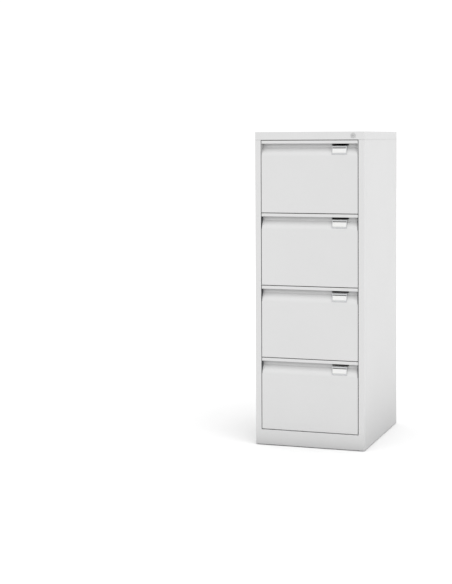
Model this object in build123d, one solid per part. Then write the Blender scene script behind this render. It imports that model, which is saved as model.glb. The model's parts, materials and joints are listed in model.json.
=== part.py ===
from build123d import *
import os

os.makedirs("parts", exist_ok=True)

# Four-drawer steel filing cabinet. Millimetres, +Z up, front faces -Y.
# Origin: centre of the footprint, on the floor.

# overall sizes
cabinet_width = 470.0
cabinet_depth = 622.0
cabinet_height = 1321.0
drawer_count = 4

# sheet metal and clearances
sheet = 1.0
seam = 0.3  # clearance between fixed pieces that slot together
cover_seam = 0.6  # open joint between the top cover and the sides
run_gap = 0.3  # clearance between moving curved faces
tight_bend = 0.2
hem_bend = 1.2
edge_bend = 3.0
lip_bend = 2.0

# case
glide_height = 3.0
stile_width = 25.0
stile_return = 2.5
rear_flange = 20.0
cover_skirt = 33.3
plinth_top = 65.5
lock_proud = 1.5
head_rail_depth = 20.0
head_rail_upturn = 6.0
tongue_inset = 6.0
corner_seam = 0.8
rib_depth = 3.0
rib_half_width = 12.0
rib_x = 110.0

# drawer front, measured back from its face and down from its top edge
side_gap = 3.0
drawer_gap = 3.0
lip_height = 13.3
recess_depth = 18.0
recess_floor = 29.0  # where the recess back wall starts to slope forward
slope_end = 53.7
slope_bend = 35.0
recess_bend = 6.0
bottom_return = 18.0
side_return = 2.0
top_downturn = 10.0

# label holder: a tilted frame over the recess, and the slot above it
label_width = 64.0
label_from_edge = 81.3  # centre, from the right edge of the opening
label_top = 22.5
label_bottom = 58.4
label_top_depth = 6.0
label_bottom_depth = -1.4
label_sheet = 0.8
label_top_bend = 4.0
label_bottom_bend = 1.6
label_side_frame = 2.5
label_top_band = 6.9
label_bottom_band = 7.1
card_thickness = 0.4
card_gap = 0.1
card_overlap = 0.8  # how far the frame covers the card's sides and foot
card_drop = 3.8  # how far the card's top edge stands below the frame's window
slot_width = 72.0
slot_from_edge = 80.5
slot_top = 13.8
slot_bottom = 21.5

# drawer inner pan, tray and back
pan_inset = 3.0
pan_flange_top = 70.0
pan_top_margin = 5.0  # below the label slot
tray_end = 560.0
wall_top = 92.0
file_rail_top = 68.0
file_rail_inset = 8.0
file_rail_hem = 4.0
tray_lift = 3.8  # from the front's bottom edge up to the tray's underside
tray_floor_bend = 8.0
back_top = 120.0
back_flange = 12.0

# telescopic slides: member heights and where each member starts and ends
rail_below_top = 131.0
rail_gauge = 1.2
outer_member_gap = 0.5
outer_member_half = 22.75
outer_member_reach = 12.0
middle_member_half = 17.5
middle_member_start = 2.6
middle_member_reach = 11.2
inner_member_half = 12.5
inner_member_start = 5.2
slide_thickness = 12.5
fixed_rail_gap = 0.35
fixed_rail_reach = 10.5
fixed_rail_front = 34.0
fixed_rail_rear = 585.0
outer_member_front = 32.0
outer_member_rear = 572.0
middle_member_front = 43.0
middle_member_rear = 575.0
inner_member_front = 31.0
outer_cage_front = 125.0
outer_cage_rear = 480.0
inner_cage_front = 145.0
inner_cage_rear = 465.0
cage_thickness = 0.7
ball_count = 6
cage_lead = 12.0  # from a cage's end to its first ball
hole_radius = 2.6
outer_hole_depths = [47.0, 92.0, 137.0, 182.0]
middle_hole_depths = [90.0, 168.0]
rivet_depths = [60.0, 150.0, 290.0, 430.0, 530.0]
rivet_radius = 2.6
rivet_height = 1.0
buffer_length = 7.5
buffer_gap = 0.5

# uprights
upright_depth = 40.0
front_upright_front = 42.3
rear_upright_front = 520.0
upright_gauge = 1.2

# glides and screws
glide_radius = 15.0
glide_stem_radius = 3.7
glide_stem_top = 12.0
glide_x = 195.0
glide_y = 250.0
screw_head_radius = 4.0
screw_shank_radius = 2.0
screw_length = 8.0
screw_z = 14.0
screw_spacing = 105.0

# lock
lock_from_edge = 47.5
lock_below_top = 16.5
lock_face_radius = 11.0
lock_body_radius = 7.5
lock_body_length = 20.0
lock_nut_radius = 10.5
lock_nut_thickness = 4.0
barrel_radius = 5.7
barrel_tail_radius = 4.0
barrel_tail_length = 5.0
key_slot_width = 9.0
key_slot_height = 2.2
key_slot_depth = 9.0
cam_thickness = 2.0
cam_radius = 7.0
cam_throw = 8.5
cam_pin_radius = 2.0
cam_pin_gap = 0.35
cam_arm_half = 3.5

# lock bar, a vertical strip behind the right stile
bar_thickness = 3.0
bar_depth = 12.0
bar_front = 30.0
bar_from_edge = 6.0  # from the opening edge to the bar
bar_bottom = 100.0
bar_arm_gauge = 2.0
bar_arm_half = 8.0
bar_tab = 3.4
bar_tab_half = 6.0
clip_height = 14.0
clip_gap = 0.4
clip_gauge = 1.2
clip_below_tab = 36.0
clipped_drawers = [0, 2, 3]

# derived positions
half_width = cabinet_width / 2
front_y = -cabinet_depth / 2 + lock_proud
rear_y = cabinet_depth / 2
cover_bottom = cabinet_height - cover_skirt
case_top = cover_bottom - cover_seam
case_bottom = glide_height
opening_half = half_width - stile_width
top_drawer_z = cover_bottom - drawer_gap
drawer_pitch = (top_drawer_z - plinth_top) / drawer_count
front_height = drawer_pitch - drawer_gap
front_half = opening_half - side_gap
label_x = opening_half - label_from_edge
slot_x = opening_half - slot_from_edge
lock_x = half_width - lock_from_edge
lock_z = cabinet_height - lock_below_top
pan_front = recess_depth + sheet + seam
pan_rear = pan_front + sheet
outer_face = opening_half - outer_member_gap
tray_half = outer_face - slide_thickness
tray_bottom = front_height - tray_lift
fixed_rail_web = outer_face + fixed_rail_gap + rail_gauge
side_inner = half_width - sheet
bar_x = opening_half + bar_from_edge
pin_offset = cam_throw * 2 ** -0.5
recess_end_bottom = slope_end + slope_bend / 3


def block(x_low, x_high, y_low, y_high, z_low, z_high):
    corner = Plane(origin=(x_low, y_low, z_low))
    return Solid.make_box(x_high - x_low, y_high - y_low, z_high - z_low, corner)


# as block, with depths measured back from the front plane of the case
def deep_block(x_low, x_high, depth_low, depth_high, z_low, z_high):
    return block(x_low, x_high, front_y + depth_low, front_y + depth_high, z_low, z_high)


def rod(radius, start, direction, length):
    return Solid.make_cylinder(radius, length, Plane(origin=start, z_dir=direction))


# cross-section of a bent sheet: one face follows the path, the other is a gauge away
def sheet_section(points, bends, gauge, side):
    path = FilletPolyline(*points, radius=bends)
    return Face(path.offset_2d(gauge, kind=Kind.INTERSECTION, side=side, closed=True))


# plane whose x runs back into the cabinet and whose y runs up from the drawer's top
def side_plane(x_position):
    return Plane(origin=(x_position, front_y, top_drawer_z), x_dir=(0, 1, 0), z_dir=(1, 0, 0))


# extrude a section drawn as (depth, height from the drawer's top) across the width
def across(section, x_low, x_high):
    return extrude(side_plane(x_low) * section, amount=x_high - x_low, dir=(1, 0, 0))


def polygon_across(points, x_low, x_high):
    return across(make_face(Polyline(*points, close=True)), x_low, x_high)


def mirrored(shape):
    return mirror(shape, about=Plane.YZ)


def save(name, shapes):
    solids = [solid for shape in shapes for solid in shape.solids()]
    result = solids[0] if len(solids) == 1 else Compound(children=solids)
    export_step(result, f"parts/{name}.step")


# ---- case ----

# side panel: outer skin, front stile with its return, rear flange and a top tongue
def side_panel():
    points = [
        (opening_half, front_y + stile_return),
        (opening_half, front_y),
        (half_width, front_y),
        (half_width, rear_y),
        (half_width - rear_flange, rear_y),
    ]
    section = sheet_section(points, [tight_bend, edge_bend, hem_bend], sheet, Side.LEFT)
    skin = extrude(Pos(0, 0, case_bottom) * section, amount=case_top - case_bottom, dir=(0, 0, 1))
    tongue_outer = side_inner - seam
    tongue_inner = tongue_outer - sheet
    tongue_front = front_y + tongue_inset
    tongue_rear = rear_y - tongue_inset
    tongue_top = cabinet_height - sheet - seam
    tongue_foot = case_top - sheet
    joggle = block(tongue_inner, half_width - sheet / 2, tongue_front, tongue_rear, tongue_foot, case_top)
    tongue = block(tongue_inner, tongue_outer, tongue_front, tongue_rear, tongue_foot, tongue_top)
    return skin + joggle + tongue


# back panel with two pressed ribs
def back_panel():
    edge = side_inner - seam
    outer = rear_y - sheet
    points = [(-edge, outer)]
    for centre in (-rib_x, rib_x):
        points.append((centre - rib_half_width, outer))
        points.append((centre - rib_half_width / 2, outer - rib_depth))
        points.append((centre + rib_half_width / 2, outer - rib_depth))
        points.append((centre + rib_half_width, outer))
    points.append((edge, outer))
    bends = [lip_bend] * (len(points) - 2)
    section = sheet_section(points, bends, sheet, Side.RIGHT)
    top = cabinet_height - sheet - seam
    panel = extrude(Pos(0, 0, case_bottom) * section, amount=top - case_bottom, dir=(0, 0, 1))
    for hole_x in screw_places():
        panel -= rod(screw_shank_radius + seam / 2, (hole_x, rear_y, screw_z), (0, -1, 0), screw_length)
    return panel


def screw_places():
    return [-2 * screw_spacing, 0, 2 * screw_spacing]


# top cover: a shallow lid with a folded head rail behind its front skirt
def top_cover():
    outer = block(-half_width, half_width, front_y, rear_y, cover_bottom, cabinet_height)
    uprights = outer.edges().filter_by(Axis.Z).sort_by(Axis.Y)
    outer = fillet(uprights[:2], edge_bend)
    outer = fillet(outer.edges().filter_by(Axis.Z).sort_by(Axis.Y)[-2:], hem_bend)
    outer = fillet(outer.edges().group_by(Axis.Z)[-1], hem_bend)
    inner = block(
        -side_inner, side_inner, front_y + sheet, rear_y - sheet,
        cover_bottom - sheet, cabinet_height - sheet
    )
    inner = fillet(inner.edges().filter_by(Axis.Z).sort_by(Axis.Y)[:2], edge_bend - sheet)
    cover = outer - inner
    rail_half = side_inner - sheet - 2 * seam - sheet
    cover += deep_block(-rail_half, rail_half, sheet / 2, head_rail_depth, cover_bottom, cover_bottom + sheet)
    upturn_top = cover_bottom + head_rail_upturn
    cover += deep_block(
        -rail_half, rail_half, head_rail_depth - sheet, head_rail_depth, cover_bottom, upturn_top
    )
    cover -= rod(lock_body_radius + seam, (lock_x, front_y - sheet, lock_z), (0, 1, 0), 3 * sheet)
    for side in (-1, 1):
        low = min(side * side_inner, side * (half_width + sheet))
        high = max(side * side_inner, side * (half_width + sheet))
        cover -= deep_block(
            low, high, edge_bend, edge_bend + corner_seam, cover_bottom - sheet, cabinet_height - hem_bend
        )
    return cover


# bottom panel: floor pan with front and rear upstands, and holes for the glide stems
def bottom_panel():
    depth_start = head_rail_depth + seam
    depth_end = cabinet_depth - lock_proud - 2 * sheet - seam
    pan_top = case_bottom + rear_flange
    pan = deep_block(-side_inner, side_inner, depth_start, depth_end, case_bottom, case_bottom + sheet)
    pan += deep_block(-opening_half, opening_half, depth_start, depth_start + sheet, case_bottom, pan_top)
    pan += deep_block(-side_inner, side_inner, depth_end - sheet, depth_end, case_bottom, pan_top)
    # relief where the ribs of the back panel pass
    for centre in (-rib_x, rib_x):
        pan -= deep_block(
            centre - rib_half_width - lip_bend,
            centre + rib_half_width + lip_bend,
            depth_end - rib_depth - sheet,
            depth_end + sheet,
            0,
            pan_top + sheet,
        )
    for hole_x in screw_places():
        pan -= rod(screw_shank_radius + seam / 2, (hole_x, rear_y, screw_z), (0, -1, 0), 2 * screw_length)
    for place in glide_places():
        pan -= rod(glide_stem_radius + seam, (place[0], place[1], 0), (0, 0, 1), glide_stem_top)
    return pan


# plinth: kick plate below the bottom drawer, folded back at its top and bottom
def front_plinth():
    points = [
        (head_rail_depth, case_bottom),
        (0, case_bottom),
        (0, plinth_top),
        (head_rail_depth, plinth_top),
    ]
    section = sheet_section(points, [tight_bend, hem_bend], sheet, Side.RIGHT)
    section = Pos(0, -top_drawer_z, 0) * section
    return across(section, -opening_half, opening_half)


# upright channel that carries the fixed rails, open towards the side panel
def upright(depth_start):
    depth_end = depth_start + upright_depth
    foot = case_bottom + sheet
    head = case_top - 2 * sheet
    web_end = fixed_rail_web + upright_gauge
    result = deep_block(fixed_rail_web, web_end, depth_start, depth_end, foot, head)
    result += deep_block(fixed_rail_web, side_inner, depth_start, depth_start + upright_gauge, foot, head)
    result += deep_block(fixed_rail_web, side_inner, depth_end - upright_gauge, depth_end, foot, head)
    return result


# staple that guides the lock bar along the front of the right upright
def bar_clip(level):
    low = bar_x - clip_gap
    high = bar_x + bar_thickness + clip_gap
    nose = bar_front - clip_gap
    clip = deep_block(
        low - clip_gauge, high + clip_gauge, nose - clip_gauge, front_upright_front + upright_gauge / 2,
        level, level + clip_height
    )
    clip -= deep_block(low, high, nose, front_upright_front, level - sheet, level + clip_height + sheet)
    return clip


# height of the lock bar's tab behind a drawer front
def tab_level(index):
    return top_drawer_z - (index + 1 / 2) * drawer_pitch


def right_front_upright():
    result = upright(front_upright_front)
    for index in clipped_drawers:
        result += bar_clip(tab_level(index) - clip_below_tab)
    return result


def glide_places():
    return [(x, y) for x in (-glide_x, glide_x) for y in (-glide_y, glide_y)]


def glide(place):
    foot = rod(glide_radius, (place[0], place[1], 0), (0, 0, 1), glide_height)
    foot = fillet(foot.edges().sort_by(Axis.Z)[:1], sheet)
    return foot + rod(glide_stem_radius, (place[0], place[1], sheet), (0, 0, 1), glide_stem_top - sheet)


def back_screw(hole_x):
    head = rod(screw_head_radius, (hole_x, rear_y, screw_z), (0, -1, 0), sheet)
    head = fillet(head.edges().sort_by(Axis.Y)[-1:], sheet / 2)
    shank = rod(screw_shank_radius, (hole_x, rear_y - sheet / 2, screw_z), (0, -1, 0), screw_length)
    return head + shank


# ---- lock ----

def lock_housing():
    start = (lock_x, front_y - lock_proud, lock_z)
    face = rod(lock_face_radius, start, (0, 1, 0), lock_proud)
    face = fillet(face.edges().sort_by(Axis.Y)[:1], lock_proud / 2)
    body = rod(lock_body_radius, start, (0, 1, 0), lock_proud + lock_body_length)
    nut_plane = Plane(origin=(lock_x, front_y + sheet, lock_z), z_dir=(0, 1, 0))
    nut = extrude(nut_plane * RegularPolygon(lock_nut_radius, 6), amount=lock_nut_thickness, dir=(0, 1, 0))
    bore = rod(barrel_radius + run_gap, start, (0, 1, 0), lock_proud + lock_body_length)
    return face + body + nut - bore


def lock_barrel():
    start = (lock_x, front_y - lock_proud, lock_z)
    length = lock_proud + lock_body_length + run_gap
    plug = rod(barrel_radius, start, (0, 1, 0), length)
    plug = fillet(plug.edges().sort_by(Axis.Y)[:1], run_gap)
    tail = rod(barrel_tail_radius, start, (0, 1, 0), length + barrel_tail_length)
    slot = deep_block(
        lock_x - key_slot_width / 2, lock_x + key_slot_width / 2,
        -lock_proud - sheet, key_slot_depth - lock_proud,
        lock_z - key_slot_height / 2, lock_z + key_slot_height / 2
    )
    return plug + tail - slot


# cam on the barrel's tail; its pin stands up and to the right at rest
def lock_cam():
    cam_depth = lock_body_length + run_gap
    plane = Plane(origin=(lock_x, front_y + cam_depth, lock_z), x_dir=(1, 0, 0), z_dir=(0, -1, 0))
    start = (lock_x, front_y + cam_depth, lock_z)
    disc = rod(cam_radius, start, (0, 1, 0), cam_thickness)
    arm = Pos(cam_throw / 2, 0) * Rectangle(cam_throw, 2 * cam_arm_half)
    disc += extrude(plane * (Rot(0, 0, 45) * arm), amount=cam_thickness, dir=(0, 1, 0))
    pin_start = (lock_x + pin_offset, front_y + cam_depth, lock_z + pin_offset)
    disc += rod(cam_arm_half, pin_start, (0, 1, 0), cam_thickness)
    pin_length = bar_front + bar_arm_gauge + cam_pin_radius / 2 - cam_depth
    disc += rod(cam_pin_radius, pin_start, (0, 1, 0), pin_length)
    return disc - rod(barrel_tail_radius + run_gap / 3, start, (0, 1, 0), cam_thickness)


# lock bar: long strip, slotted arm driven by the cam pin, and one tab per drawer
def lock_bar():
    arm_centre = lock_z + pin_offset
    bar_top = arm_centre + bar_arm_half
    bar = deep_block(bar_x, bar_x + bar_thickness, bar_front, bar_front + bar_depth, bar_bottom, bar_top)
    arm_left = lock_x + cam_pin_radius / 2
    bar += deep_block(
        arm_left, bar_x + bar_thickness, bar_front, bar_front + bar_arm_gauge,
        arm_centre - bar_arm_half, bar_top
    )
    slot_half = cam_pin_radius + cam_pin_gap
    slot_left = lock_x + pin_offset - slot_half
    slot_right = lock_x + cam_throw + slot_half
    bar -= deep_block(
        slot_left, slot_right, bar_front - sheet, bar_front + bar_arm_gauge + sheet,
        arm_centre - slot_half, arm_centre + slot_half
    )
    for index in range(drawer_count):
        level = tab_level(index)
        bar += deep_block(
            bar_x - bar_tab, bar_x + bar_thickness / 2, bar_front + bar_tab,
            bar_front + bar_depth - bar_tab, level - bar_tab_half, level + bar_tab_half
        )
    return bar


# ---- drawer fronts ----

def front_path():
    return [
        (bottom_return, -front_height),
        (0, -front_height),
        (0, -slope_end),
        (recess_depth, -recess_floor),
        (recess_depth, -lip_height),
        (0, -lip_height),
        (0, 0),
        (recess_depth + sheet, 0),
        (recess_depth + sheet, -top_downturn),
    ]


def front_bends():
    return [lip_bend, slope_bend, recess_bend, sheet, lip_bend, lip_bend, lip_bend]


# drawer front: one bent sheet with a full-width finger recess under its top lip
def drawer_front(own_recess_ends):
    section = sheet_section(front_path(), front_bends(), sheet, Side.RIGHT)
    front = across(section, -front_half, front_half)
    lip_end = [
        (sheet / 2, -sheet / 2),
        (recess_depth, -sheet / 2),
        (recess_depth, -lip_height),
        (sheet / 2, -lip_height),
    ]
    recess_end = [
        (0, -lip_height + sheet / 2),
        (recess_depth + sheet / 2, -lip_height + sheet / 2),
        (recess_depth + sheet / 2, -recess_floor),
        (side_return, -slope_end),
        (side_return, -recess_end_bottom),
        (0, -recess_end_bottom),
    ]
    skirt = [
        (sheet / 2, -recess_end_bottom),
        (side_return, -recess_end_bottom),
        (side_return, -front_height + sheet / 2),
        (sheet / 2, -front_height + sheet / 2),
    ]
    front += polygon_across(lip_end, front_half - sheet, front_half)
    front += polygon_across(skirt, front_half - sheet, front_half)
    front += polygon_across(lip_end, -front_half, -front_half + sheet)
    front += polygon_across(skirt, -front_half, -front_half + sheet)
    if own_recess_ends:
        front += polygon_across(recess_end, front_half - sheet, front_half)
        front += polygon_across(recess_end, -front_half, -front_half + sheet)
    else:
        notch = [
            (-sheet, -lip_height),
            (pan_rear, -lip_height),
            (pan_rear, -recess_end_bottom),
            (-sheet, -recess_end_bottom),
        ]
        front -= polygon_across(notch, front_half - sheet - seam, front_half + sheet)
        front -= polygon_across(notch, -front_half - sheet, -front_half + sheet + seam)
    window = deep_block(
        slot_x - slot_width / 2, slot_x + slot_width / 2,
        recess_depth - sheet / 2, recess_depth + 2 * sheet,
        top_drawer_z - slot_bottom, top_drawer_z - slot_top
    )
    return front - window


# inner pan: closes the back of the front; on the lower drawers it also ends the recess
def front_liner(ends_recess):
    pan_half = front_half - pan_inset
    top = top_drawer_z - slot_bottom - pan_top_margin
    bottom = top_drawer_z - front_height + sheet + seam
    liner = deep_block(-pan_half, pan_half, pan_front, pan_rear, bottom, top)
    flange_top = top_drawer_z - pan_flange_top
    for side in (-1, 1):
        low = min(side * pan_half, side * (pan_half - sheet))
        liner += deep_block(low, low + sheet, 2 * sheet, pan_rear, bottom, flange_top)
        if ends_recess:
            outer = min(side * front_half, side * (front_half - sheet))
            flange_low = top_drawer_z - recess_end_bottom + seam
            flange_high = top_drawer_z - lip_height - seam
            liner += deep_block(outer, outer + sheet, 0, pan_rear, flange_low, flange_high)
            bridge = min(side * pan_half, side * front_half)
            liner += deep_block(bridge, bridge + pan_inset, pan_front, pan_rear, flange_low, top)
    liner += deep_block(-pan_half, pan_half, 2 * sheet, pan_rear, bottom, bottom + sheet)
    return liner


# everything behind the visible surface of the front, moved forward by a clearance
def front_solid(clearance):
    points = [(depth - clearance, height) for depth, height in front_path()[1:6]]
    path = FilletPolyline(*points, radius=front_bends()[1:4])
    rear = 2 * recess_depth
    closing = Polyline(points[-1], (rear, points[-1][1]), (rear, points[0][1]), points[0])
    section = make_face(Wire(path.edges() + closing.edges()))
    return across(section, label_x - label_width, label_x + label_width)


# depth of the holder's tilted face at a distance below the drawer's top
def label_depth(below_top):
    run = label_top_depth - label_bottom_depth
    return label_top_depth - (below_top - label_top) * run / (label_bottom - label_top)


# horizontal shift that moves the tilted face back by a gauge
def label_shift(gauge):
    run = label_top_depth - label_bottom_depth
    fall = label_bottom - label_top
    return gauge * (run ** 2 + fall ** 2) ** 0.5 / fall


# block behind the tilted face, drawn in by a gauge on every side
def label_block(gauge):
    top = label_top + gauge
    bottom = label_bottom - gauge
    half = label_width / 2 - gauge
    outline = FilletPolyline(
        (2 * recess_depth, -top),
        (label_depth(top) + label_shift(gauge), -top),
        (label_depth(bottom) + label_shift(gauge), -bottom),
        (2 * recess_depth, -bottom),
        radius=[label_top_bend - gauge, label_bottom_bend - gauge],
    )
    closing = Line(outline @ 1, outline @ 0)
    section = make_face(Wire(outline.edges() + closing.edges()))
    return across(section, label_x - half, label_x + half)


# tilted chrome frame; its cheeks run back to the recess
def label_holder():
    inner_half = label_width / 2 - label_side_frame
    window = deep_block(
        label_x - inner_half, label_x + inner_half, -recess_depth, recess_depth,
        top_drawer_z - label_bottom + label_bottom_band, top_drawer_z - label_top - label_top_band
    )
    body = label_block(0) - label_block(label_sheet) - window - front_solid(seam)
    return body.solids().sort_by(SortBy.VOLUME)[-1]


# paper card standing in the holder's foot, with its top edge showing in the window
def label_card():
    near = label_shift(label_sheet + card_gap)
    far = label_shift(label_sheet + card_gap + card_thickness)
    top = label_top + label_top_band + card_drop
    bottom = label_bottom - label_bottom_band + card_overlap
    points = [
        (label_depth(top) + near, -top),
        (label_depth(top) + far, -top),
        (label_depth(bottom) + far, -bottom),
        (label_depth(bottom) + near, -bottom),
    ]
    half = label_width / 2 - label_side_frame + card_overlap
    return polygon_across(points, label_x - half, label_x + half) - front_solid(seam)


# ---- drawer trays ----

# plane for sections drawn as (x, height from the drawer's top), extruded to the front
def rear_plane(depth):
    origin = (0, front_y + depth, top_drawer_z)
    return Plane(origin=origin, x_dir=(1, 0, 0), z_dir=(0, -1, 0))


# tray: floor and sides in one sheet, with raised rails for hanging files
def drawer_tray():
    rail = tray_half - file_rail_inset
    right = [
        (tray_half, -tray_bottom),
        (tray_half, -wall_top),
        (rail, -wall_top),
        (rail, -file_rail_top),
        (rail - file_rail_hem, -file_rail_top),
    ]
    left = [(-x, z) for x, z in reversed(right)]
    bends = [hem_bend, hem_bend, hem_bend, tray_floor_bend]
    bends = bends + list(reversed(bends))
    section = sheet_section(left + right, bends, sheet, Side.LEFT)
    return extrude(rear_plane(tray_end) * section, amount=tray_end - pan_rear, dir=(0, -1, 0))


# tray back: a low panel with side flanges
def drawer_back():
    half = tray_half - sheet
    bottom = top_drawer_z - tray_bottom + sheet
    top = top_drawer_z - back_top
    panel = deep_block(-half, half, tray_end - sheet, tray_end, bottom, top)
    corners = panel.edges().filter_by(Axis.Y).group_by(Axis.Z)[0]
    panel = fillet(corners, tray_floor_bend)
    flange_bottom = bottom + tray_floor_bend
    for side in (-1, 1):
        low = min(side * half, side * (half - sheet))
        panel += deep_block(low, low + sheet, tray_end - back_flange, tray_end, flange_bottom, top)
    panel += deep_block(-half + tray_floor_bend, half - tray_floor_bend,
                        tray_end - back_flange, tray_end, bottom, bottom + sheet)
    panel += deep_block(-half + sheet, half - sheet,
                        tray_end - back_flange, tray_end, top - sheet, top)
    return panel


# ---- slides ----

# channel with its web at web_x and flanges reaching to flange_x
def channel(web_low, web_high, flange_low, flange_high, half, depth_start, depth_end):
    middle = top_drawer_z - rail_below_top
    web = deep_block(web_low, web_high, depth_start, depth_end, middle - half, middle + half)
    for side in (-1, 1):
        low = middle + min(side * half, side * (half - rail_gauge))
        web += deep_block(flange_low, flange_high, depth_start, depth_end, low, low + rail_gauge)
    return web


def web_holes(member, depths, x_position):
    middle = top_drawer_z - rail_below_top
    for depth in depths:
        member -= rod(hole_radius, (x_position, front_y + depth, middle), (1, 0, 0), 2 * rail_gauge)
    return member


# fixed rail on the uprights
def fixed_rail():
    half = outer_member_half + fixed_rail_gap + rail_gauge
    web_low = fixed_rail_web - rail_gauge
    reach = outer_face - fixed_rail_reach
    return channel(web_low, fixed_rail_web, reach, fixed_rail_web, half, fixed_rail_front, fixed_rail_rear)


# outer moving member, one third of the drawer's travel
def outer_member():
    web_low = outer_face - rail_gauge
    reach = outer_face - outer_member_reach
    member = channel(
        web_low, outer_face, reach, outer_face, outer_member_half, outer_member_front, outer_member_rear
    )
    return web_holes(member, outer_hole_depths, web_low - rail_gauge / 2)


# middle moving member, two thirds of the drawer's travel
def middle_member():
    web_high = outer_face - middle_member_start
    web_low = web_high - rail_gauge
    reach = outer_face - middle_member_reach
    member = channel(
        web_low, web_high, reach, web_high, middle_member_half, middle_member_front, middle_member_rear
    )
    return web_holes(member, middle_hole_depths, web_low - rail_gauge / 2)


# inner member, fixed to the tray side with rivets
def inner_member():
    web_low = tray_half
    web_high = tray_half + rail_gauge
    reach = outer_face - inner_member_start
    member = channel(web_low, web_high, web_low, reach, inner_member_half, inner_member_front, tray_end)
    middle = top_drawer_z - rail_below_top
    for depth in rivet_depths:
        start = (web_high - rail_gauge / 2, front_y + depth, middle)
        member += rod(rivet_radius, start, (1, 0, 0), rivet_height + rail_gauge / 2)
    return member


# ball cage: a thin channel between two members, with the balls held in its flanges
def ball_cage(web_low, web_high, flange_low, track, ball_x, ball_radius, depth_start, depth_end):
    middle = top_drawer_z - rail_below_top
    half = track + cage_thickness / 2
    cage = deep_block(web_low, web_high, depth_start, depth_end, middle - half, middle + half)
    step = (depth_end - depth_start - 2 * cage_lead) / (ball_count - 1)
    for side in (-1, 1):
        level = middle + side * track
        low = level - cage_thickness / 2
        cage += deep_block(flange_low, web_high, depth_start, depth_end, low, low + cage_thickness)
        for index in range(ball_count):
            depth = depth_start + cage_lead + index * step
            cage += Pos(ball_x, front_y + depth, level) * Sphere(ball_radius)
    return cage


# cage between the outer and middle members
def outer_cage():
    gap_high = outer_face - rail_gauge
    gap_low = outer_face - middle_member_start
    centre = (gap_high + gap_low) / 2
    inner_half = outer_member_half - rail_gauge
    track = (inner_half + middle_member_half) / 2
    radius = (inner_half - middle_member_half) / 2 - run_gap
    ball_x = (outer_face - middle_member_reach + gap_low) / 2
    half_web = cage_thickness / 2
    flange_low = outer_face - middle_member_reach + run_gap
    return ball_cage(
        centre - half_web, centre + half_web, flange_low, track, ball_x, radius,
        outer_cage_front, outer_cage_rear
    )


# cage between the middle and inner members
def inner_cage():
    gap_high = outer_face - middle_member_start - rail_gauge
    gap_low = outer_face - inner_member_start
    centre = (gap_high + gap_low) / 2
    inner_half = middle_member_half - rail_gauge
    track = (inner_half + inner_member_half) / 2
    radius = (inner_half - inner_member_half) / 2 - run_gap
    ball_x = (outer_face - middle_member_reach + gap_low) / 2
    half_web = cage_thickness / 2
    flange_low = outer_face - middle_member_reach + run_gap
    return ball_cage(
        centre - half_web, centre + half_web, flange_low, track, ball_x, radius,
        inner_cage_front, inner_cage_rear
    )


# rubber block that fills the rear end of a fixed rail
def rear_buffer():
    middle = top_drawer_z - rail_below_top
    half = outer_member_half + fixed_rail_gap
    start = middle_member_rear + buffer_gap
    return deep_block(
        outer_face - fixed_rail_reach, fixed_rail_web - rail_gauge, start, start + buffer_length,
        middle - half, middle + half
    )


# ---- assembly ----

save("right_side_panel", [side_panel()])
save("left_side_panel", [mirrored(side_panel())])
save("back_panel", [back_panel()])
save("top_cover", [top_cover()])
save("bottom_panel", [bottom_panel()])
save("front_plinth", [front_plinth()])
save("front_uprights", [right_front_upright(), mirrored(upright(front_upright_front))])
save("rear_uprights", [upright(rear_upright_front), mirrored(upright(rear_upright_front))])
save("glides", [glide(place) for place in glide_places()])
save("back_screws", [back_screw(hole_x) for hole_x in screw_places()])
save("lock_housing", [lock_housing()])
save("lock_barrel", [lock_barrel()])
save("lock_cam", [lock_cam()])
save("lock_bar", [lock_bar()])


def both_sides(shape):
    return [shape, mirrored(shape)]


def lowered(shapes, index):
    return [Pos(0, 0, -index * drawer_pitch) * shape for shape in shapes]


fixed_rails = []
buffers = []
for index in range(drawer_count):
    fixed_rails += lowered(both_sides(fixed_rail()), index)
    buffers += lowered(both_sides(rear_buffer()), index)
save("cabinet_rails", fixed_rails)
save("rear_buffers", buffers)

plain_pieces = {
    "label_holder": [label_holder()],
    "label_card": [label_card()],
    "tray": [drawer_tray()],
    "back": [drawer_back()],
    "drawer_rails": both_sides(inner_member()),
    "middle_rails": both_sides(middle_member()),
    "outer_rails": both_sides(outer_member()),
    "outer_cages": both_sides(outer_cage()),
    "inner_cages": both_sides(inner_cage()),
}
for index in range(drawer_count):
    name = f"drawer_{index + 1}"
    is_top = index == 0
    save(f"{name}_front", lowered([drawer_front(is_top)], index))
    save(f"{name}_front_liner", lowered([front_liner(not is_top)], index))
    for piece, shapes in plain_pieces.items():
        save(f"{name}_{piece}", lowered(shapes, index))
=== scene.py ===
import json
import math

import bpy
from mathutils import Euler, Matrix, Vector


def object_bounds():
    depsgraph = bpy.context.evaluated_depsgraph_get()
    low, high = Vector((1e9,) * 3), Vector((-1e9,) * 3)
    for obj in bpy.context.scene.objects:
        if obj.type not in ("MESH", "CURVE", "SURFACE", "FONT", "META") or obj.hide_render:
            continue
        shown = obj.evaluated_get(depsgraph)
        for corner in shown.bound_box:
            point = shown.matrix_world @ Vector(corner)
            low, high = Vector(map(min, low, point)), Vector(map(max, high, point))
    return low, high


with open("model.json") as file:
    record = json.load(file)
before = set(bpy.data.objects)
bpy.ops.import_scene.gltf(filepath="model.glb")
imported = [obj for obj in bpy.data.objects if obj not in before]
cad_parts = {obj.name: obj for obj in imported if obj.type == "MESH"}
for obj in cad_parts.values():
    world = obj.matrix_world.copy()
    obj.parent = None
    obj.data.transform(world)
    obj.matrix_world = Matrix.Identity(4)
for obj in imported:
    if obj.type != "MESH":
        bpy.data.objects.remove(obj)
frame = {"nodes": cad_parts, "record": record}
nodes = frame["nodes"]
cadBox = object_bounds()
print("frame loaded:", len(nodes), "nodes")


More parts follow.
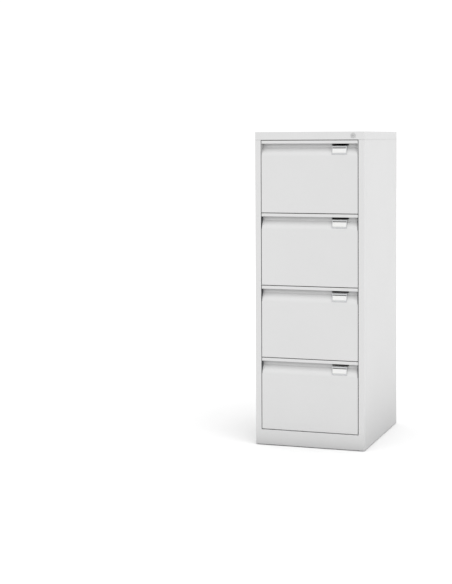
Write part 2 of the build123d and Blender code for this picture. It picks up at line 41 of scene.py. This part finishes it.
def toLinear(hexColour):  # sRGB hex to the linear colour a shader takes
    channels = [int(hexColour[i:i + 2], 16) / 255 for i in (1, 3, 5)]
    linear = [c / 12.92 if c <= 0.04045 else ((c + 0.055) / 1.055) ** 2.4 for c in channels]
    return (*linear, 1.0)


def toMetres(sizeMm):
    return sizeMm / 1000


def perMetre(sizeMm):  # texture scale for a pattern whose features are this many mm across
    return 1000 / sizeMm


# settings name a node's inputs or its own properties; links name an input and the output that feeds it
def addNode(tree, kind, settings=None, links=None):
    node = tree.nodes.new(kind)
    for name, value in (settings or {}).items():
        if isinstance(name, int) or name in node.inputs:
            node.inputs[name].default_value = value
        else:
            setattr(node, name, value)
    for name, source in (links or {}).items():
        tree.links.new(source, node.inputs[name])
    return node


def startMaterial(name, shaderSettings):
    material = bpy.data.materials.new(name)
    material.use_nodes = True
    tree = material.node_tree
    tree.nodes.clear()
    shader = addNode(tree, "ShaderNodeBsdfPrincipled", shaderSettings)
    addNode(tree, "ShaderNodeOutputMaterial", {}, {"Surface": shader.outputs[0]})
    place = addNode(tree, "ShaderNodeTexCoord")
    return material, tree, shader, place.outputs["Object"]


def feedShader(tree, shader, sources):  # what drives each of the shader's sockets
    for name, source in sources.items():
        tree.links.new(source, shader.inputs[name])


def blendColours(tree, factor, first, second):
    mix = addNode(tree, "ShaderNodeMix", {"data_type": "RGBA", 6: toLinear(first), 7: toLinear(second)},
                  {0: factor})
    return mix.outputs[2]


# the part of a noise texture's range that most of its surface lies in, wide and narrow
wideNoise = (0.3, 0.7)
narrowNoise = (0.35, 0.65)


def remap(tree, value, lowIn, highIn, lowOut, highOut):
    node = addNode(tree, "ShaderNodeMapRange",
                   {"From Min": lowIn, "From Max": highIn, "To Min": lowOut, "To Max": highOut},
                   {"Value": value})
    return node.outputs[0]


# powder coat: sprayed dry and baked, so it has a soft sheen and a fine orange peel; its own folds and
# recesses are painted a little greyer, a painted shade matched to the photographed shading there,
# not dirt that is seen on it
def powderCoat(name, options):
    gloss = {"IOR": 1.5, "Specular IOR Level": options["specular"]}
    material, tree, shader, place = startMaterial(name, gloss)
    drift = addNode(tree, "ShaderNodeTexNoise", {"Scale": perMetre(options["driftMm"]), "Detail": 2.0},
                    {"Vector": place})
    openCoat = blendColours(tree, drift.outputs[0], options["light"], options["dark"])
    # painted shade: the coat is mixed toward a greyer tone where its own folds and recesses hide it
    openness = addNode(tree, "ShaderNodeAmbientOcclusion",
                       {"samples": 8, "only_local": True, "Distance": toMetres(options["foldShadeMm"])})
    paintedFoldShade = remap(tree, openness.outputs["AO"], options["foldShadeLow"], options["foldShadeHigh"], 1.0, 0.0)
    coat = addNode(tree, "ShaderNodeMix", {"data_type": "RGBA", 7: toLinear(options["foldShade"])},
                   {0: paintedFoldShade, 6: openCoat})
    speckle = addNode(tree, "ShaderNodeTexNoise", {"Scale": perMetre(options["speckleMm"]), "Detail": 3.0},
                      {"Vector": place})
    peel = addNode(tree, "ShaderNodeTexNoise",
                   {"Scale": perMetre(options["peelMm"]), "Detail": 2.0, "Roughness": 0.45},
                   {"Vector": place})
    wave = addNode(tree, "ShaderNodeTexNoise", {"Scale": perMetre(options["waveMm"]), "Detail": 1.0},
                   {"Vector": place})
    rough = remap(tree, speckle.outputs[0], *wideNoise, options["roughLow"], options["roughHigh"])
    sheetBump = addNode(tree, "ShaderNodeBump", {"Distance": toMetres(options["waveHeightMm"])},
                        {"Height": wave.outputs[0]})
    peelBump = addNode(tree, "ShaderNodeBump", {"Distance": toMetres(options["peelHeightMm"])},
                       {"Height": peel.outputs[0], "Normal": sheetBump.outputs[0]})
    sources = {"Base Color": coat.outputs[2], "Roughness": rough, "Normal": peelBump.outputs[0]}
    feedShader(tree, shader, sources)
    return material


# the last four entries of each coat set its painted shade in folds and recesses: the grey, how far out in mm
# it reaches, and the occlusion range it spans
caseCoat = {
    "light": "#DADADA", "dark": "#D6D6D6", "driftMm": 260, "speckleMm": 2.5, "peelMm": 2.2, "waveMm": 120,
    "peelHeightMm": 0.02, "waveHeightMm": 0.35, "roughLow": 0.40, "roughHigh": 0.50, "specular": 0.45,
    "foldShade": "#B0B0B0", "foldShadeMm": 75, "foldShadeLow": 0.30, "foldShadeHigh": 0.95,
}
frontCoat = {
    "light": "#DADADA", "dark": "#D6D6D6", "driftMm": 220, "speckleMm": 2.5, "peelMm": 2.2, "waveMm": 100,
    "peelHeightMm": 0.02, "waveHeightMm": 0.25, "roughLow": 0.40, "roughHigh": 0.50, "specular": 0.45,
    "foldShade": "#B0B0B0", "foldShadeMm": 75, "foldShadeLow": 0.30, "foldShadeHigh": 0.95,
}
# dark grey coat of the trays and liners; where the liners' flanges close the recess ends of the lower three
# drawers, this dark is painted shade
trayCoat = {
    "light": "#484A4C", "dark": "#404244", "driftMm": 180, "speckleMm": 2.0, "peelMm": 1.8, "waveMm": 90,
    "peelHeightMm": 0.03, "waveHeightMm": 0.3, "roughLow": 0.42, "roughHigh": 0.56, "specular": 0.45,
    "foldShade": "#343638", "foldShadeMm": 45, "foldShadeLow": 0.15, "foldShadeHigh": 0.95,
}
caseSteel = powderCoat("light grey powder-coated steel, case", caseCoat)
frontSteel = powderCoat("light grey powder-coated steel, drawer fronts", frontCoat)
trayAndEndShadeSteel = powderCoat("dark grey powder-coated steel", trayCoat)


# bright zinc plate: rolled strip with a clear passivation, streaked along its length with a faint mottle
def zincPlate(name, options):
    material, tree, shader, place = startMaterial(name, {"Metallic": 1.0})
    stretch = addNode(tree, "ShaderNodeMapping", {"Scale": options["stretch"]}, {"Vector": place})
    streak = addNode(tree, "ShaderNodeTexNoise", {"Scale": perMetre(options["streakMm"]), "Detail": 4.0},
                     {"Vector": stretch.outputs[0]})
    mottle = addNode(tree, "ShaderNodeTexVoronoi", {"Scale": perMetre(options["mottleMm"])},
                     {"Vector": place})
    colour = blendColours(tree, mottle.outputs["Color"], options["light"], options["dark"])
    rough = remap(tree, streak.outputs[0], *wideNoise, options["roughLow"], options["roughHigh"])
    bump = addNode(tree, "ShaderNodeBump", {"Distance": toMetres(options["streakHeightMm"])},
                   {"Height": streak.outputs[0]})
    feedShader(tree, shader, {"Base Color": colour, "Roughness": rough, "Normal": bump.outputs[0]})
    return material


slideZinc = {
    "light": "#EDEDEB", "dark": "#DFE0E0", "stretch": (1.0, 0.02, 1.0), "streakMm": 1.5, "mottleMm": 7,
    "streakHeightMm": 0.01, "roughLow": 0.26, "roughHigh": 0.40,
}
zincSteel = zincPlate("bright zinc-plated steel strip", slideZinc)


# bright plate: chrome or nickel over polished steel, with faint polishing haze
def brightPlate(name, options):
    material, tree, shader, place = startMaterial(name, {"Metallic": 1.0})
    haze = addNode(tree, "ShaderNodeTexNoise", {"Scale": perMetre(options["hazeMm"]), "Detail": 5.0},
                   {"Vector": place})
    colour = blendColours(tree, haze.outputs[0], options["light"], options["dark"])
    rough = remap(tree, haze.outputs[0], *narrowNoise, options["roughLow"], options["roughHigh"])
    feedShader(tree, shader, {"Base Color": colour, "Roughness": rough})
    return material


chromePlate = {"light": "#CDCECF", "dark": "#C3C4C5", "hazeMm": 6, "roughLow": 0.10, "roughHigh": 0.20}
nickelPlate = {"light": "#C8C8C8", "dark": "#BEBEBE", "hazeMm": 1.5, "roughLow": 0.20, "roughHigh": 0.32}
chromeSteel = brightPlate("chrome-plated steel", chromePlate)
nickelCasting = brightPlate("satin nickel-plated die casting", nickelPlate)


# moulded nylon and rubber: matt black with the fine grain of a spark-eroded mould, drawn some five
# times coarser than the real one, so that it shows
def mouldedPlastic(name, options):
    material, tree, shader, place = startMaterial(name, {"IOR": 1.5})
    grain = addNode(tree, "ShaderNodeTexNoise", {"Scale": perMetre(options["grainMm"]), "Detail": 4.0},
                    {"Vector": place})
    colour = blendColours(tree, grain.outputs[0], options["light"], options["dark"])
    rough = remap(tree, grain.outputs[0], *wideNoise, options["roughLow"], options["roughHigh"])
    bump = addNode(tree, "ShaderNodeBump", {"Distance": toMetres(options["grainHeightMm"])},
                   {"Height": grain.outputs[0]})
    feedShader(tree, shader, {"Base Color": colour, "Roughness": rough, "Normal": bump.outputs[0]})
    return material


cageNylon = {
    "light": "#232323", "dark": "#1A1A1A", "grainMm": 0.8, "grainHeightMm": 0.03,
    "roughLow": 0.5, "roughHigh": 0.65,
}
bufferRubber = {
    "light": "#2A2A29", "dark": "#1E1E1E", "grainMm": 1.5, "grainHeightMm": 0.05,
    "roughLow": 0.7, "roughHigh": 0.85,
}
nylon = mouldedPlastic("moulded black nylon", cageNylon)
rubber = mouldedPlastic("moulded black rubber", bufferRubber)


# index card: uncoated paper, whose short fibres give a soft matt surface
def paperCard(name, options):
    material, tree, shader, place = startMaterial(name, {"IOR": 1.45, "Specular IOR Level": 0.2})
    fibre = addNode(tree, "ShaderNodeTexNoise", {"Scale": perMetre(options["fibreMm"]), "Detail": 6.0},
                    {"Vector": place})
    colour = blendColours(tree, fibre.outputs[0], options["light"], options["dark"])
    rough = remap(tree, fibre.outputs[0], *wideNoise, options["roughLow"], options["roughHigh"])
    bump = addNode(tree, "ShaderNodeBump", {"Distance": toMetres(options["fibreHeightMm"])},
                   {"Height": fibre.outputs[0]})
    feedShader(tree, shader, {"Base Color": colour, "Roughness": rough, "Normal": bump.outputs[0]})
    return material


labelPaper = {
    "light": "#EAEAE9", "dark": "#E4E4E3", "fibreMm": 1.2, "fibreHeightMm": 0.03,
    "roughLow": 0.75, "roughHigh": 0.9,
}
card = paperCard("white index card", labelPaper)
print("materials made")

# which finish each piece has, and how far its folded edges are rounded, in mm
finishes = {
    "case_coat": {"material": caseSteel, "edgeMm": 0.25},
    "front_coat": {"material": frontSteel, "edgeMm": 0.25},
    "tray_coat": {"material": trayAndEndShadeSteel, "edgeMm": 0.25},
    "zinc_steel": {"material": zincSteel, "edgeMm": 0.2},
    "chrome": {"material": chromeSteel, "edgeMm": 0.15},
    "nickel": {"material": nickelCasting, "edgeMm": 0.2},
    "black_nylon": {"material": nylon, "edgeMm": 0.15},
    "rubber": {"material": rubber, "edgeMm": 0.4},
    "card": {"material": card, "edgeMm": 0.05},
}
edgeBreak = {"segments": 2, "sharperThanDeg": 50}
slotOf = {part["node"]: part["material_slot"] for part in frame["record"]["subparts"]}
for name, obj in nodes.items():
    finish = finishes[slotOf[name]]
    obj.data.materials.clear()
    obj.data.materials.append(finish["material"])
    bevel = obj.modifiers.new("edge break", "BEVEL")
    bevel.width = toMetres(finish["edgeMm"])
    bevel.segments = edgeBreak["segments"]
    bevel.limit_method = "ANGLE"
    bevel.angle_limit = math.radians(edgeBreak["sharperThanDeg"])
print("finishes given to", len(nodes), "pieces")

# studio: a white floor and room and one soft high light; the light that the floor throws back comes
# from a hidden pale board and, round the cabinet's foot, from a hidden dark card
studio = {
    "floorSize": 60.0, "floorColour": "#F7F7F7", "floorShade": "#F9F9F9", "toneMm": 500,
    "boardColour": "#D8D8D8", "boardShade": "#DCDCDC", "boardDrop": 0.002,
    "cardFront": 0.05, "cardSide": 0.22, "cardColour": "#585858", "cardShade": "#5C5C5C", "cardDrop": 0.001,
    "roomColour": "#FFFFFF", "roomStrength": 1.06,
    "sunStrength": 0.7, "sunSpread": 60, "sunFrom": (0.93, -0.92, 1.2),
}


def stagePlane(name, low, high, height, light, dark, toneMm):
    mesh = bpy.data.meshes.new(name)
    corners = [(low[0], low[1], height), (high[0], low[1], height), (high[0], high[1], height),
               (low[0], high[1], height)]
    mesh.from_pydata(corners, [], [(0, 1, 2, 3)])
    plane = bpy.data.objects.new(name, mesh)
    bpy.context.scene.collection.objects.link(plane)
    matt = {"Roughness": 0.95, "Specular IOR Level": 0.0}
    material, tree, shader, place = startMaterial(name + " paper", matt)
    tone = addNode(tree, "ShaderNodeTexNoise", {"Scale": perMetre(toneMm), "Detail": 1.0}, {"Vector": place})
    feedShader(tree, shader, {"Base Color": blendColours(tree, tone.outputs[0], light, dark)})
    mesh.materials.append(material)
    return plane


def buildStudio(options):
    half = options["floorSize"] / 2
    low = (-half, -half)
    high = (half, half)
    floor = stagePlane("studioFloor", low, high, 0, options["floorColour"], options["floorShade"],
                       options["toneMm"])
    floor.visible_diffuse = False
    floor.visible_shadow = False
    board = stagePlane("bounceBoard", low, high, -options["boardDrop"], options["boardColour"],
                       options["boardShade"], options["toneMm"])
    low = (cadBox[0].x - options["cardSide"], cadBox[0].y - options["cardFront"])
    high = (cadBox[1].x + options["cardSide"], cadBox[1].y + options["cardSide"])
    footCard = stagePlane("footCard", low, high, -options["cardDrop"], options["cardColour"],
                          options["cardShade"], options["toneMm"])
    for unseen in (board, footCard):
        unseen.visible_camera = False
        unseen.visible_glossy = False
    world = bpy.data.worlds.new("white room")
    world.use_nodes = True
    background = world.node_tree.nodes["Background"]
    background.inputs[0].default_value = toLinear(options["roomColour"])
    background.inputs[1].default_value = options["roomStrength"]
    bpy.context.scene.world = world
    light = bpy.data.lights.new("high soft light", "SUN")
    light.energy = options["sunStrength"]
    light.angle = math.radians(options["sunSpread"])
    lamp = bpy.data.objects.new("highSoftLight", light)
    lamp.rotation_euler = Vector(options["sunFrom"]).to_track_quat("Z", "Y").to_euler()
    bpy.context.scene.collection.objects.link(lamp)


buildStudio(studio)

# camera: nearly level with the cabinet's top and to its right; ahead is measured from the drawer fronts
shot = {
    "right": 1.582, "ahead": 5.635, "height": 1.2955, "turnDeg": 19.06, "downDeg": 2.476,
    "rollDeg": -0.254, "lensMm": 86.85, "sensorMm": 36.0, "shiftY": -0.159, "seesTo": 200.0,
}
lockProud = 0.0015  # the lock stands this far out of the drawer fronts
frontPlane = cadBox[0].y + lockProud
camera = bpy.data.cameras.new("long lens")
camera.sensor_width = shot["sensorMm"]
camera.lens = shot["lensMm"]
camera.shift_y = shot["shiftY"]
camera.clip_end = shot["seesTo"]
cameraObject = bpy.data.objects.new("longLens", camera)
cameraObject.location = (shot["right"], frontPlane - shot["ahead"], shot["height"])
level = Euler((math.radians(90 - shot["downDeg"]), 0, math.radians(shot["turnDeg"]))).to_matrix()
cameraObject.rotation_euler = (level @ Matrix.Rotation(math.radians(shot["rollDeg"]), 3, "Z")).to_euler()
bpy.context.scene.collection.objects.link(cameraObject)
bpy.context.scene.camera = cameraObject
bpy.context.scene.view_settings.view_transform = "Standard"
print("studio and camera ready")
